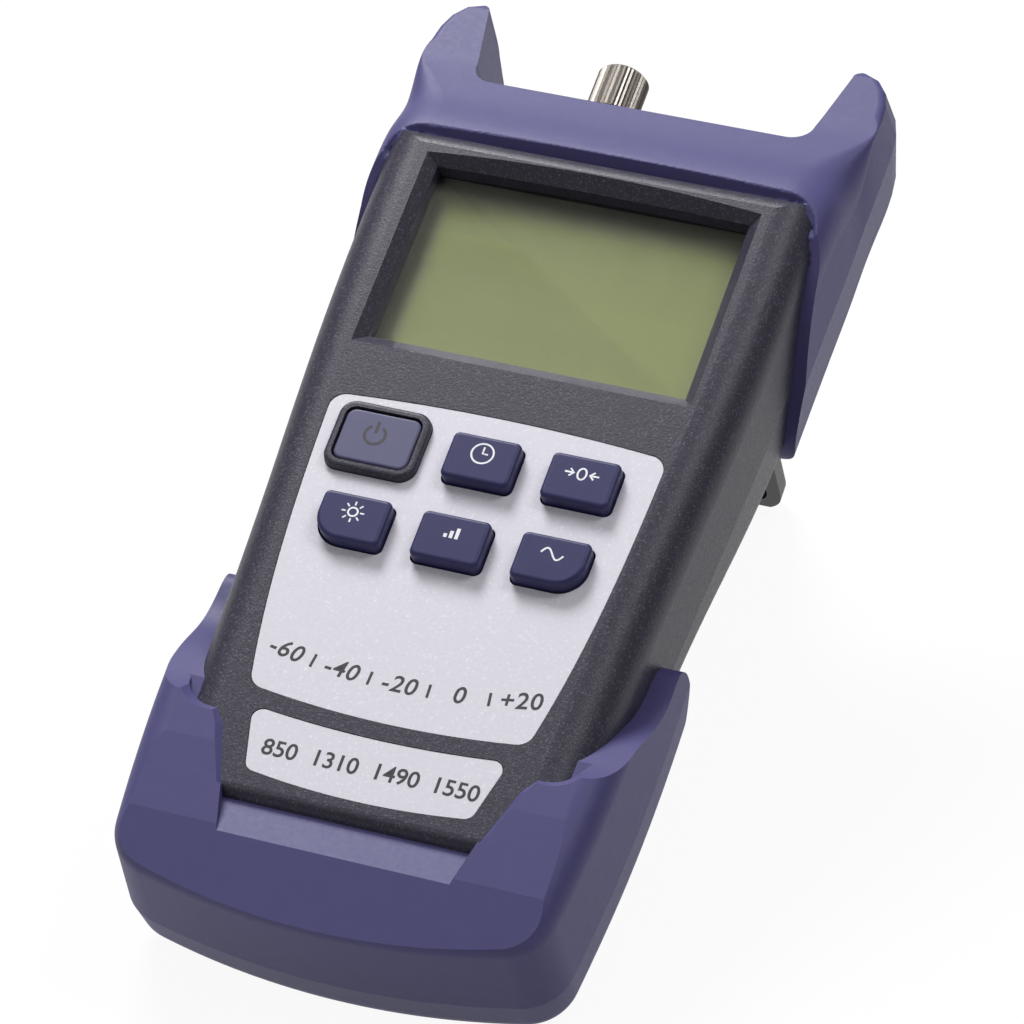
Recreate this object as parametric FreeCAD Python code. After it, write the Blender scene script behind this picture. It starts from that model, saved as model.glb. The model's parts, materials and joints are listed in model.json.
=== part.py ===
"""Handheld optical power meter, leaning on its open kickstand.

Every piece is modelled in the meter's own frame: X to the right, Y towards the optical port,
Z out of the flat front face (z = 0).  At export the whole meter is leaned back onto its stand,
so that +Z is up and the origin is the bottom centre of its bounding box.  Millimetres.
"""
import FreeCAD, Part
import math
import os
from FreeCAD import Placement, Rotation, Vector

os.makedirs("parts", exist_ok=True)

# ---------------------------------------------------------------- driving dimensions
LEAN = 26.0                 # lean of the face from level when the stand is open, degrees
PARTING_Z = -18.5           # joint between the front and back mouldings
WALL = 2.2                  # wall of the grey housing
FIT = 0.3                   # gap round a moving piece

BODY_SIDE = [(33.7, -98.0), (34.9, -66.0), (36.3, -34.0), (38.3, 0.0), (39.0, 30.0), (38.6, 52.0)]
BODY_TOP_Y = 54.5
BODY_BOTTOM_Y = -103.6
BODY_CORNER_R = 8.0
BODY_DRAFT = 1.1            # how much narrower the housing is at its front and back faces
FRONT_EDGE_R = 7.2
BACK_EDGE_R = 4.6
THICK_Z = -32.0             # back face behind the display
GRIP_Z = -26.4              # back face behind the grip
GRIP_END_Y = -42.0          # the back starts to thicken here
THICK_START_Y = 8.0

WINDOW_HALF = 27.6          # clear opening over the display
WINDOW_Y = (0.4, 35.5)
BEZEL_HALF = 29.5           # outer edge of the bevel round it
BEZEL_Y = (-2.0, 36.9)
BEZEL_CROWN = 1.5
BEZEL_DEPTH = 1.9
LENS_Z = -4.6
LENS_T = 1.4
LCD_T = 2.4
LCD_FRAME_T = 3.4

KEY_X = 17.0                # outer key columns
KEY_Y = (-20.4, -35.7)      # upper and lower key rows
KEY_W, KEY_H = 11.7, 8.6
KEY_TOP_Z = 2.5
KEY_R = 1.1
KEY_SWEEP_R = 4.6           # large corner of the two outer keys in the lower row
KEY_TRAVEL = 0.8
POWER_POS = (-18.3, -20.0)
POWER_W, POWER_H = 12.9, 9.7
POWER_TOP_Z = 1.25
RIM_W, RIM_H = 15.9, 12.9
RIM_TOP_Z = 1.4

LABEL_T = 0.3
LABEL_POCKET = 0.4

BOARD_Z = -12.6             # front face of the circuit board
BOARD_T = 1.6
BOARD_Y = (-40.0, 41.5)
POSTS = [(32.0, 20.0), (29.0, -37.0)]

GUARD_HALF = 41.6
GUARD_BACK_Z = -34.0
BAR_TOP_Y = 57.5
HORN_TIP_Y = 76.0
HORN_INNER = (33.0, 74.2, 30.4, 61.5)

BOOT_SIDE = [(39.2, -34.0), (39.8, -55.0), (39.3, -76.0), (38.0, -92.0), (37.0, -101.0)]
BOOT_END_Y = -106.5
BOOT_CORNER_Y = -101.4
BOOT_CORNER_R = 8.5
BOOT_FRONT_Z = 1.0
BOOT_BACK_Z = -28.8
BOOT_DRAFT = 1.2
BOOT_EDGE_R = 5.0

PORT_X, PORT_Z = -8.0, -18.5
BARREL_R = 4.0
BARREL_Y = (59.1, 68.0)
FLANGE = 14.0
FERRULE_R = 1.25
CAP_R = 4.6
CAP_Y = (59.6, 71.0)
KNURLS = 40

HINGE_Y, HINGE_Z = 36.0, -28.2
BARREL_STAND_R = 3.6
STAND_HALF = 22.4
STAND_L = 69.8
STAND_T = 4.2
STAND_TIP_R = 5.5
FOLD_TILT = 4.5             # slope of the folded stand, following the tapered back
STAND_OPEN = 96.5           # travel from folded to the open stop, degrees
PIN_R = 1.5

CELL_R, CELL_L = 5.25, 44.5
CELL_Z = -18.0
CELL_MID_Y = -65.4
BAY_HALF = 17.0
BAY_Y = (-88.6, -42.2)
DOOR_T = 2.0
CASE_SCREWS = [(31.0, 47.5), (26.0, -94.0)]
BIG = 200.0


# ---------------------------------------------------------------- small tools
def vec(x, y, z=0.0):
    return Vector(x, y, z)


def box(x0, x1, y0, y1, z0, z1):
    return Part.makeBox(x1 - x0, y1 - y0, z1 - z0, vec(x0, y0, z0))


def cyl(r, base, direction, length):
    return Part.makeCylinder(r, length, base, direction)


def fuse(first, *others):
    return first.multiFuse(list(others)).removeSplitter()


def mirrored(shape):
    return shape.mirror(vec(0, 0, 0), vec(1, 0, 0))


def both_sides(shape):
    return [shape, mirrored(shape)]


def arc(a, b, c):
    return Part.Arc(a, b, c).toShape()


def line(a, b):
    return Part.makeLine(a, b)


def smooth(points):
    curve = Part.BSplineCurve()
    curve.interpolate(points)
    return curve.toShape()


def prism(edges, direction):
    return Part.Face(Part.Wire(edges)).extrude(direction)


def polygon_prism(points, direction):
    return Part.Face(Part.makePolygon(points + [points[0]])).extrude(direction)


def side_profile_prism(points, half=60.0):
    """Prism along X from (y, z) corner points."""
    return polygon_prism([vec(-half, y, z) for y, z in points], vec(2 * half, 0, 0))


def edges_where(shape, test):
    return [e for e in shape.Edges if test(e)]


def rounded_plate(cx, cy, w, h, r, z0, z1):
    plate = box(cx - w / 2, cx + w / 2, cy - h / 2, cy + h / 2, z0, z1)
    upright = edges_where(plate, lambda e: abs(e.Length - abs(z1 - z0)) < 1e-6 and is_upright(e))
    return plate.makeFillet(r, upright)


def is_upright(edge):
    """True for an edge that runs mostly along Z."""
    if len(edge.Vertexes) < 2:
        return False
    a, b = edge.Vertexes[0].Point, edge.Vertexes[-1].Point
    return math.hypot(a.x - b.x, a.y - b.y) < 0.2 * abs(a.z - b.z)


def in_plane(edge, z):
    """True for an edge that lies in the plane at height z."""
    box_of_edge = edge.BoundBox
    return abs(box_of_edge.ZMin - z) < 1e-3 and abs(box_of_edge.ZMax - z) < 1e-3


# ---------------------------------------------------------------- grey housing
def body_outline(z, inset):
    """Closed plan outline of the housing at height z, drawn in by inset."""
    right = [vec(x - inset, y, z) for x, y in BODY_SIDE]
    right[0] = vec(right[0].x + 0.2, BODY_BOTTOM_Y + 4.0 + inset, z)
    right[-1] = vec(right[-1].x, BODY_TOP_Y - inset, z)
    left = [vec(-p.x, p.y, z) for p in reversed(right)]
    top_mid = vec(0, BODY_TOP_Y + 0.6 - inset, z)
    bottom_mid = vec(0, BODY_BOTTOM_Y + inset, z)
    return Part.Wire([smooth(right), arc(right[-1], top_mid, left[0]), smooth(left),
                      arc(left[-1], bottom_mid, right[0])])


def back_cutter(inset):
    """What lies behind the back face, which is thick at the display and thin at the grip."""
    grip, thick = GRIP_Z + inset, THICK_Z + inset
    x = -60.0
    start = vec(x, GRIP_END_Y, grip)
    end = vec(x, THICK_START_Y, thick)
    third = (THICK_START_Y - GRIP_END_Y) / 3.0
    ease = Part.BezierCurve()
    ease.setPoles([start, start + vec(0, third, 0), end - vec(0, third, 0), end])
    far = -60.0
    edges = [line(vec(x, -130, far), vec(x, -130, grip)), line(vec(x, -130, grip), start),
             ease.toShape(), line(end, vec(x, 90, thick)), line(vec(x, 90, thick), vec(x, 90, far)),
             line(vec(x, 90, far), vec(x, -130, far))]
    return prism(edges, vec(120, 0, 0))


def body_block(inset):
    """The solid outer form of the housing, or its cavity when inset is the wall."""
    levels = [(-inset, BODY_DRAFT), (PARTING_Z, 0.0), (-36.0, BODY_DRAFT)]
    block = Part.makeLoft([body_outline(z, inset + taper) for z, taper in levels], True, True)
    corner = edges_where(block, is_upright)
    block = block.makeFillet(BODY_CORNER_R - inset, corner)
    block = block.cut(back_cutter(inset))
    front = edges_where(block, lambda e: in_plane(e, -inset))
    block = block.makeFillet(FRONT_EDGE_R - inset, front)
    return block


def face_steps():
    """The face drops to the guard at its top and to the boot at its bottom."""
    x = -60.0
    top = [line(vec(x, 38.6, 5), vec(x, 38.6, 0)), arc(vec(x, 38.6, 0), vec(x, 40.9, -1.1), vec(x, 42.1, -3.6)),
           line(vec(x, 42.1, -3.6), vec(x, 58, -10.2)), line(vec(x, 58, -10.2), vec(x, 58, 5)),
           line(vec(x, 58, 5), vec(x, 38.6, 5))]
    bottom = [line(vec(x, -84.8, 5), vec(x, -84.8, 0)),
              arc(vec(x, -84.8, 0), vec(x, -86.2, -0.5), vec(x, -87.0, -1.6)),
              line(vec(x, -87.0, -1.6), vec(x, -110, -4.6)), line(vec(x, -110, -4.6), vec(x, -110, 5)),
              line(vec(x, -110, 5), vec(x, -84.8, 5))]
    return [prism(top, vec(120, 0, 0)), prism(bottom, vec(120, 0, 0))]


def front_half(shape):
    return shape.common(box(-BIG, BIG, -BIG, BIG, PARTING_Z, BIG))


def back_half(shape):
    return shape.common(box(-BIG, BIG, -BIG, BIG, -BIG, PARTING_Z))



def body_envelope():
    """Outer form of the whole housing, with every long edge rounded."""
    block = body_block(0.0)
    back = edges_where(block, lambda e: e.BoundBox.ZMax < GRIP_Z + 0.4 and e.Length > 6.0
                       and e.BoundBox.ZMin > THICK_Z - 0.4)
    block = block.makeFillet(BACK_EDGE_R, back)
    for step in face_steps():
        block = block.cut(step)
    return block


def body_cavity():
    """Inside of the housing, a wall's thickness below its steps too."""
    cavity = body_block(WALL)
    for step, shift in zip(face_steps(), (-1.2, 1.2)):
        step.translate(vec(0, shift, -WALL))
        cavity = cavity.cut(step)
    return cavity


def bevel_wire(half, y0, y1, crown, z):
    corners = [vec(half, y0, z), vec(half, y1, z), vec(-half, y1, z), vec(-half, y0, z)]
    top = arc(corners[1], vec(0, y1 + crown, z), corners[2])
    return Part.Wire([line(corners[0], corners[1]), top, line(corners[2], corners[3]), line(corners[3], corners[0])])


def display_window():
    """Bevelled frame and clear opening, cut from the face."""
    rise = 0.1
    grow_x = (BEZEL_HALF - WINDOW_HALF) * rise
    outer = bevel_wire(BEZEL_HALF + grow_x, BEZEL_Y[0] - 0.24, BEZEL_Y[1] + 0.14, BEZEL_CROWN + 0.1,
                       BEZEL_DEPTH * rise)
    inner = bevel_wire(WINDOW_HALF, WINDOW_Y[0], WINDOW_Y[1], 0.4, -BEZEL_DEPTH)
    bevel = Part.makeLoft([outer, inner], True, True)
    deep = inner.copy()
    deep.translate(vec(0, 0, -8.0))
    return bevel.fuse(Part.makeLoft([inner, deep], True, True))


def key_outline(cx, cy, w, h, z0, z1, grow=0.0, sweep=0):
    """Key plan: small corner radii, and one swept lower corner on the outer keys (sweep is -1 or +1)."""
    w, h = w + 2 * grow, h + 2 * grow
    block = box(cx - w / 2, cx + w / 2, cy - h / 2, cy + h / 2, z0, z1)

    def swept(edge):
        p = edge.Vertexes[0].Point
        return sweep != 0 and (p.x - cx) * sweep > 0 and p.y < cy

    upright = edges_where(block, is_upright)
    block = block.makeFillet(KEY_R + grow, [e for e in upright if not swept(e)])
    big = edges_where(block, lambda e: is_upright(e) and swept(e) and abs(e.Vertexes[0].Point.x - cx) > w / 2 - 0.01
                      and e.Vertexes[0].Point.y < cy - h / 2 + 0.01)
    if big:
        block = block.makeFillet(KEY_SWEEP_R + grow, big)
    return block


KEYS = {
    "key_auto_off": (0.0, KEY_Y[0], 0),
    "key_zero": (KEY_X, KEY_Y[0], 0),
    "key_light": (-KEY_X, KEY_Y[1], -1),
    "key_db": (0.0, KEY_Y[1], 0),
    "key_wavelength": (KEY_X, KEY_Y[1], 1),
}


def small_key(cx, cy, sweep):
    cap = key_outline(cx, cy, KEY_W, KEY_H, -3.5, KEY_TOP_Z, 0.0, sweep)
    crown = [e for e in cap.Edges if in_plane(e, KEY_TOP_Z)]
    cap = cap.makeFillet(0.7, crown)
    return with_plunger(cap, cx, cy, KEY_W + 2.0, KEY_H + 1.6)


def with_plunger(cap, cx, cy, flange_w, flange_h):
    """Retaining flange under the face and the plunger that presses the mat."""
    flange = box(cx - flange_w / 2, cx + flange_w / 2, cy - flange_h / 2, cy + flange_h / 2, -3.6, -WALL - 0.1)
    plunger = cyl(2.0, vec(cx, cy, -9.4), vec(0, 0, 1), 6.2)
    return fuse(cap, flange, plunger)


def power_key():
    cx, cy = POWER_POS
    cap = rounded_plate(cx, cy, POWER_W, POWER_H, 1.6, -3.4, POWER_TOP_Z)
    cap = cap.makeFillet(0.5, [e for e in cap.Edges if in_plane(e, POWER_TOP_Z)])
    return with_plunger(cap, cx, cy, POWER_W + 1.6, POWER_H + 1.6)


def power_rim():
    cx, cy = POWER_POS
    rim = rounded_plate(cx, cy, RIM_W, RIM_H, 2.8, -WALL, RIM_TOP_Z)
    return rim.makeFillet(0.8, [e for e in rim.Edges if in_plane(e, RIM_TOP_Z)])


def key_cutters():
    cx, cy = POWER_POS
    cutters = [rounded_plate(cx, cy, POWER_W + 2 * FIT, POWER_H + 2 * FIT, 1.9, -8, 8)]
    for kx, ky, sweep in KEYS.values():
        cutters.append(key_outline(kx, ky, KEY_W, KEY_H, -8, 8, FIT, sweep))
    return cutters


def label_upper_form(z0, z1, grow=0.0):
    """Shield-shaped label that fills the face below the display."""
    side = [(28.9, -12.4), (28.4, -25.0), (26.9, -45.0), (23.4, -67.4)]
    right = [vec(x + grow, y, z0) for x, y in side]
    right[0].y += grow
    right[-1].y -= grow
    left = [vec(-p.x, p.y, z0) for p in reversed(right)]
    form = prism([smooth(right), arc(right[-1], vec(0, -69.1 - grow, z0), left[0]), smooth(left),
                  arc(left[-1], vec(0, -11.1 + grow, z0), right[0])], vec(0, 0, z1 - z0))
    upright = edges_where(form, is_upright)
    return form.makeFillet(2.8, upright)


def label_lower_form(z0, z1, grow=0.0):
    corners = [vec(21.6 + grow, -70.9 + grow, z0), vec(18.9 + grow, -81.9 - grow, z0)]
    left = [vec(-p.x, p.y, z0) for p in reversed(corners)]
    form = prism([line(corners[0], corners[1]), arc(corners[1], vec(0, -83.3 - grow, z0), left[0]),
                  line(left[0], left[1]), arc(left[1], vec(0, -72.2 + grow, z0), corners[0])],
                 vec(0, 0, z1 - z0))
    return form.makeFillet(1.8, edges_where(form, is_upright))


def label_upper():
    label = label_upper_form(-LABEL_POCKET, -LABEL_POCKET + LABEL_T)
    cx, cy = POWER_POS
    holes = [rounded_plate(cx, cy, RIM_W + 0.2, RIM_H + 0.2, 2.9, -8, 8)]
    for kx, ky, sweep in KEYS.values():
        holes.append(key_outline(kx, ky, KEY_W, KEY_H, -8, 8, FIT, sweep))
    for hole in holes:
        label = label.cut(hole)
    return label


def label_lower():
    return label_lower_form(-LABEL_POCKET, -LABEL_POCKET + LABEL_T)


def posts():
    """Board posts and case screw bosses, moulded on the inside of the face."""
    made = []
    for px, py in POSTS:
        for side in (-1, 1):
            post = cyl(3.0, vec(side * px, py, BOARD_Z), vec(0, 0, 1), 12.0)
            made.append((post, cyl(0.9, vec(side * px, py, BOARD_Z - 1), vec(0, 0, 1), 8.0)))
    for px, py in CASE_SCREWS:
        for side in (-1, 1):
            boss = cyl(3.4, vec(side * px, py, PARTING_Z), vec(0, 0, 1), 17.0)
            made.append((boss, cyl(1.25, vec(side * px, py, PARTING_Z - 1), vec(0, 0, 1), 12.0)))
    return made


def port_hole():
    return cyl(5.2, vec(PORT_X, 40, PORT_Z), vec(0, 1, 0), 30)


def front_shell(envelope, cavity):
    skin = front_half(envelope.cut(cavity))
    ring = box(-WINDOW_HALF - 1.6, WINDOW_HALF + 1.6, WINDOW_Y[0] - 1.6, WINDOW_Y[1] + 2.0, LENS_Z, -1.0)
    skin = skin.fuse([ring.common(envelope), power_rim()])
    made = posts()
    skin = skin.fuse([post.common(envelope) for post, hole in made])
    for cutter in [display_window(), port_hole()] + key_cutters() + [hole for post, hole in made]:
        skin = skin.cut(cutter)
    skin = skin.cut(label_upper_form(-LABEL_POCKET, 0.6, 0.1).cut(power_rim()))
    return skin.cut(label_lower_form(-LABEL_POCKET, 0.6, 0.1))


def stand_recess():
    """Pocket in the back that the folded stand and its hinge fill."""
    slope = math.radians(FOLD_TILT)
    floor_lift = 1.3
    near_y = HINGE_Y - 6.0
    near_z = HINGE_Z + (HINGE_Y - near_y) * math.tan(slope) + floor_lift
    far_y = HINGE_Y - STAND_L - 0.6
    far_z = HINGE_Z + (HINGE_Y - far_y) * math.tan(slope) + floor_lift
    profile = [(HINGE_Y + BARREL_STAND_R + 0.4, -45), (HINGE_Y + BARREL_STAND_R + 0.4, HINGE_Z + BARREL_STAND_R + 0.4),
               (near_y + 1.0, HINGE_Z + BARREL_STAND_R + 0.4), (near_y, near_z), (far_y, far_z), (far_y, -45)]
    recess = side_profile_prism(profile, STAND_HALF + 0.5)
    notch = cyl(11.0, vec(0, far_y + 5.0, -24.4), vec(0, 0, -1), 20)
    return recess.fuse(notch)


def recess_wall():
    """Moulded tub behind the stand recess."""
    t = 1.6
    profile = [(HINGE_Y + 5.6, -34), (HINGE_Y + 5.6, -22.4), (HINGE_Y - 6.5, -22.4), (-35.6, -20.2), (-35.6, -34)]
    tub = side_profile_prism(profile, STAND_HALF + 0.5 + t)
    hole = cyl(11.0 + t, vec(0, HINGE_Y - STAND_L + 4.4, -22.8), vec(0, 0, -1), 12)
    return tub.fuse(hole)


def battery_tub(grow):
    mid = (BAY_Y[0] + BAY_Y[1]) / 2
    half = (BAY_Y[1] - BAY_Y[0]) / 2
    return box(-BAY_HALF - grow, BAY_HALF + grow, mid - half - grow, mid + half + grow,
               -60 if grow == 0 else GRIP_Z + 0.5, CELL_Z + CELL_R + 0.35 + grow)


def door_form(grow, z1):
    return rounded_plate(0, (BAY_Y[0] + BAY_Y[1]) / 2, 2 * BAY_HALF + 4.0 + 2 * grow,
                         BAY_Y[1] - BAY_Y[0] - 0.8 + 2 * grow, 2.5, -60, z1)


def screw_holes():
    cutters = []
    for px, py in CASE_SCREWS:
        for side in (-1, 1):
            cutters.append(cyl(1.6, vec(side * px, py, -60), vec(0, 0, 1), 60 + PARTING_Z))
            cutters.append(cyl(3.2, vec(side * px, py, -60), vec(0, 0, 1), 60 - 27.0 + 0.0 * px))
    return cutters


def back_shell(envelope, cavity):
    skin = back_half(envelope.cut(cavity))
    tub = battery_tub(1.3)
    sleeves = []
    for px, py in CASE_SCREWS:
        for side in (-1, 1):
            sleeves.append(cyl(3.4, vec(side * px, py, -34), vec(0, 0, 1), 34 + PARTING_Z).common(envelope))
    skin = skin.fuse([recess_wall().common(envelope), tub] + sleeves)
    cutters = [stand_recess(), battery_tub(0), door_form(0.15, GRIP_Z + DOOR_T), port_hole()] + screw_holes()
    cutters.append(cyl(PIN_R + 0.02, vec(-STAND_HALF - 3.6, HINGE_Y, HINGE_Z), vec(1, 0, 0), 2 * STAND_HALF + 7.2))
    for cutter in cutters:
        skin = skin.cut(cutter)
    return skin


# ---------------------------------------------------------------- guards
def guard_section(y, half, zf, rf, rb):
    """Closed cross-section of the top guard at one station along Y."""
    zb = GUARD_BACK_Z
    front_w, back_w = half - 1.0, half - 1.1

    def corner(a, mid, b):
        curve = Part.BezierCurve()
        curve.setPoles([vec(p[0], y, p[1]) for p in (a, mid, b)])
        return curve.toShape()

    edges = []
    for side in (1, -1):
        points = [(0.0, zf), (front_w - rf, zf), (front_w, zf), (front_w, zf - rf), (half, PARTING_Z),
                  (back_w, zb + rb), (back_w, zb), (back_w - rb, zb), (0.0, zb)]
        points = [(side * x, z) for x, z in points]
        if side < 0:
            points.reverse()
        p = points
        first, last = ((1, 2, 3), (5, 6, 7))
        run = [line(vec(p[0][0], y, p[0][1]), vec(p[1][0], y, p[1][1])), corner(*[p[i] for i in first]),
               line(vec(p[3][0], y, p[3][1]), vec(p[4][0], y, p[4][1])),
               line(vec(p[4][0], y, p[4][1]), vec(p[5][0], y, p[5][1])), corner(*[p[i] for i in last]),
               line(vec(p[7][0], y, p[7][1]), vec(p[8][0], y, p[8][1]))]
        edges += run
    return Part.Wire(edges)


GUARD_STATIONS = [
    # y, half width, front z, front edge radius, back edge radius
    (4.0, 40.9, -1.2, 6.5, 5.0), (16.0, 41.1, -1.2, 6.5, 5.0), (28.0, 41.3, -1.2, 7.0, 5.0),
    (37.0, 41.5, -1.1, 8.0, 5.0), (43.5, 41.6, -1.5, 9.0, 5.0), (49.0, 41.6, -3.7, 9.0, 5.0),
    (54.0, 41.7, -5.8, 6.5, 5.0), (58.5, 41.8, -7.4, 2.6, 4.5), (66.0, 41.8, -9.3, 1.5, 4.0)]
HORN_STATIONS = [
    (66.0, 41.8, -9.3, 1.5, 4.0), (69.5, 41.4, -9.9, 1.5, 4.0), (72.5, 40.4, -10.4, 1.5, 4.0),
    (74.8, 38.6, -10.8, 1.5, 4.0), (HORN_TIP_Y, 36.4, -11.4, 1.5, 4.0)]


def horn_gap():
    """Space between the two horns, with rounded roots and tips."""
    inner_x, inner_y, root_x, root_y = HORN_INNER
    foot_x, tip_x, top = 26.6, 34.9, HORN_TIP_Y + 14
    root, inner, tip = vec(root_x, root_y), vec(inner_x, inner_y), vec(tip_x, HORN_TIP_Y)
    right = [arc(vec(foot_x, BAR_TOP_Y), vec(29.3, 58.7), root), line(root, inner),
             arc(inner, vec(33.5, 75.5), tip), line(tip, vec(tip_x, top))]
    left = [line(vec(-tip_x, top), vec(-tip_x, HORN_TIP_Y)),
            arc(vec(-tip_x, HORN_TIP_Y), vec(-33.5, 75.5), vec(-inner_x, inner_y)),
            line(vec(-inner_x, inner_y), vec(-root_x, root_y)),
            arc(vec(-root_x, root_y), vec(-29.3, 58.7), vec(-foot_x, BAR_TOP_Y))]
    edges = right + [line(vec(tip_x, top), vec(-tip_x, top))] + left
    edges.append(line(vec(-foot_x, BAR_TOP_Y), vec(foot_x, BAR_TOP_Y)))
    gap = prism(edges, vec(0, 0, 60))
    gap.translate(vec(0, 0, -50))
    return gap


def guard_arch(z, grow):
    """Opening of the top guard round the face at height z."""
    mid_y = 42.1 + grow
    points = [vec(30.0 + grow * 0.3, 41.1 + grow, z), vec(34.6 + grow * 0.8, 39.4 + grow * 0.8, z),
              vec(37.0 + grow, 35.0 + grow * 0.4, z)]
    left = [vec(-p.x, p.y, z) for p in reversed(points)]
    return Part.Wire([arc(left[2], vec(0, mid_y, z), points[0]), arc(points[0], points[1], points[2]),
                      line(points[2], vec(points[2].x, 0, z)), line(vec(points[2].x, 0, z), vec(left[0].x, 0, z)),
                      line(vec(left[0].x, 0, z), left[0]), arc(left[0], left[1], left[2])])


def flank_cutter_top():
    """Everything below the swept edge of the top guard's flanks."""
    x = -60.0
    edge = [(44.0, 4.0), (39.6, -1.0), (34.0, -5.2), (26.5, -9.8), (18.6, -16.8), (13.4, -23.6), (11.2, -29.5),
            (13.0, -36.5)]
    curve = smooth([vec(x, y, z) for y, z in edge])
    edges = [curve, line(vec(x, 13.0, -36.5), vec(x, 0, -36.5)), line(vec(x, 0, -36.5), vec(x, 0, 4)),
             line(vec(x, 0, 4), vec(x, 44, 4))]
    return prism(edges, vec(120, 0, 0))


def horn_end_cutter():
    """The horn ends slope forward towards the back."""
    return side_profile_prism([(HORN_TIP_Y, -16.0), (71.4, -35.0), (71.4, -50), (100, -50), (100, -16)])


def back_arch():
    """Opening of the top guard round the housing's back."""
    edges = [line(vec(-33, 0), vec(33, 0)), line(vec(33, 0), vec(33, 37)), arc(vec(33, 37), vec(31.6, 40.6), vec(28, 42)),
             arc(vec(28, 42), vec(0, 43.4), vec(-28, 42)), arc(vec(-28, 42), vec(-31.6, 40.6), vec(-33, 37)),
             line(vec(-33, 37), vec(-33, 0))]
    cutter = prism(edges, vec(0, 0, 30))
    cutter.translate(vec(0, 0, -58))
    return cutter


def top_guard(envelope):
    outer = Part.makeLoft([guard_section(*row) for row in GUARD_STATIONS], True, False, False, 3)
    tips = Part.makeLoft([guard_section(*row) for row in HORN_STATIONS], True, True)
    outer = outer.cut(horn_gap()).fuse(tips.cut(horn_gap()))
    arch = Part.makeLoft([guard_arch(4.0, 6.5), guard_arch(-3.6, 0.0), guard_arch(-14.0, 0.0)], True, True)
    for cutter in (flank_cutter_top(), arch, horn_end_cutter(), back_arch(), envelope):
        outer = outer.cut(cutter)
    flange_seat = box(PORT_X - FLANGE / 2, PORT_X + FLANGE / 2, BAR_TOP_Y - 0.2, BAR_TOP_Y + 5,
                      PORT_Z - FLANGE / 2, PORT_Z + FLANGE / 2)
    for cutter in [flange_seat, port_hole()] + port_screw_shanks(0.01):
        outer = outer.cut(cutter)
    return outer


def boot_outline(z, inset):
    right = [vec(x - inset, y, z) for x, y in BOOT_SIDE]
    right[-1] = vec(right[-1].x, BOOT_CORNER_Y + inset, z)
    left = [vec(-p.x, p.y, z) for p in reversed(right)]
    return Part.Wire([smooth(right), arc(right[-1], vec(0, BOOT_END_Y + inset, z), left[0]), smooth(left),
                      line(left[-1], right[0])])


def boot_block():
    levels = [(BOOT_FRONT_Z, BOOT_DRAFT), (PARTING_Z, 0.0), (BOOT_BACK_Z, BOOT_DRAFT * 0.6)]
    block = Part.makeLoft([boot_outline(z, taper) for z, taper in levels], True, True)
    corners = edges_where(block, lambda e: is_upright(e) and e.Vertexes[0].Point.y < -90)
    block = block.makeFillet(BOOT_CORNER_R, corners)
    rims = edges_where(block, lambda e: (in_plane(e, BOOT_FRONT_Z) or in_plane(e, BOOT_BACK_Z))
                       and e.BoundBox.YMin < -40)
    return block.makeFillet(BOOT_EDGE_R, rims)


def ear_outline(z, grow):
    """Opening of the boot round the face and the lower label at height z."""
    points = [(33.6, -68.0), (31.6, -71.4), (27.0, -72.6), (24.9, -75.2), (21.4, -85.4)]
    shift = [(1, -0.6), (0.6, -1), (0.2, -1), (1, -0.4), (0.9, -0.3)]
    right = [vec(x + sx * grow, y + sy * grow, z) for (x, y), (sx, sy) in zip(points, shift)]
    outer = vec(44, -56, z)
    left = [vec(-p.x, p.y, z) for p in reversed(right)]
    rows = [line(vec(44, -30, z), outer), line(outer, right[0]), arc(right[0], right[1], right[2])]
    rows += [line(right[2], right[3]), line(right[3], right[4])]
    rows += [arc(right[4], vec(0, -87.0 - 0.4 * grow, z), left[0])]
    rows += [line(left[0], left[1]), line(left[1], left[2]), arc(left[2], left[3], left[4])]
    rows += [line(left[4], vec(-44, -56, z)), line(vec(-44, -56, z), vec(-44, -30, z))]
    rows += [line(vec(-44, -30, z), vec(44, -30, z))]
    return Part.Wire(rows)


def flank_cutter_boot():
    x = -60.0
    edge = [(-74.0, 3.4), (-69.0, -0.6), (-60.0, -5.8), (-53.0, -10.6), (-47.5, -12.0), (-42.6, -13.0),
            (-41.2, -16.4), (-42.6, -21.0), (-46.5, -26.0), (-52.0, -32.0)]
    curve = smooth([vec(x, y, z) for y, z in edge])
    edges = [curve, line(vec(x, -52, -32), vec(x, -20, -32)), line(vec(x, -20, -32), vec(x, -20, 3.4)),
             line(vec(x, -20, 3.4), vec(x, -74, 3.4))]
    return prism(edges, vec(120, 0, 0))


def wedge_channel():
    """Sloping floor between the two ears that fades out towards the boot's end."""
    deep, shallow = -1.5, 1.2
    profile = [(-84.0, deep), (-87.5, deep), (-93.5, 0.1), (-93.5, 3.0), (-84.0, 3.0)]
    slab = side_profile_prism(profile, 30)
    plan = polygon_prism([vec(-21.9, -84), vec(21.9, -84), vec(19.4, -93.6), vec(-19.4, -93.6)], vec(0, 0, 8))
    plan.translate(vec(0, 0, -3))
    return slab.common(plan)


def front_slope():
    return side_profile_prism([(-78.0, 1.05), (-92.5, 0.35), (-110.0, -3.2), (-110, 6), (-78, 6)])


def door_surround():
    """Opening of the boot round the battery door."""
    edges = [line(vec(-31, -20), vec(31, -20)), line(vec(31, -20), vec(31, -62)),
             arc(vec(31, -62), vec(29.8, -66.4), vec(27, -70)), line(vec(27, -70), vec(23.5, -88.4)),
             arc(vec(23.5, -88.4), vec(0, -91.2), vec(-23.5, -88.4)), line(vec(-23.5, -88.4), vec(-27, -70)),
             arc(vec(-27, -70), vec(-29.8, -66.4), vec(-31, -62)), line(vec(-31, -62), vec(-31, -20))]
    cutter = prism(edges, vec(0, 0, 20))
    cutter.translate(vec(0, 0, -42))
    return cutter


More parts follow.
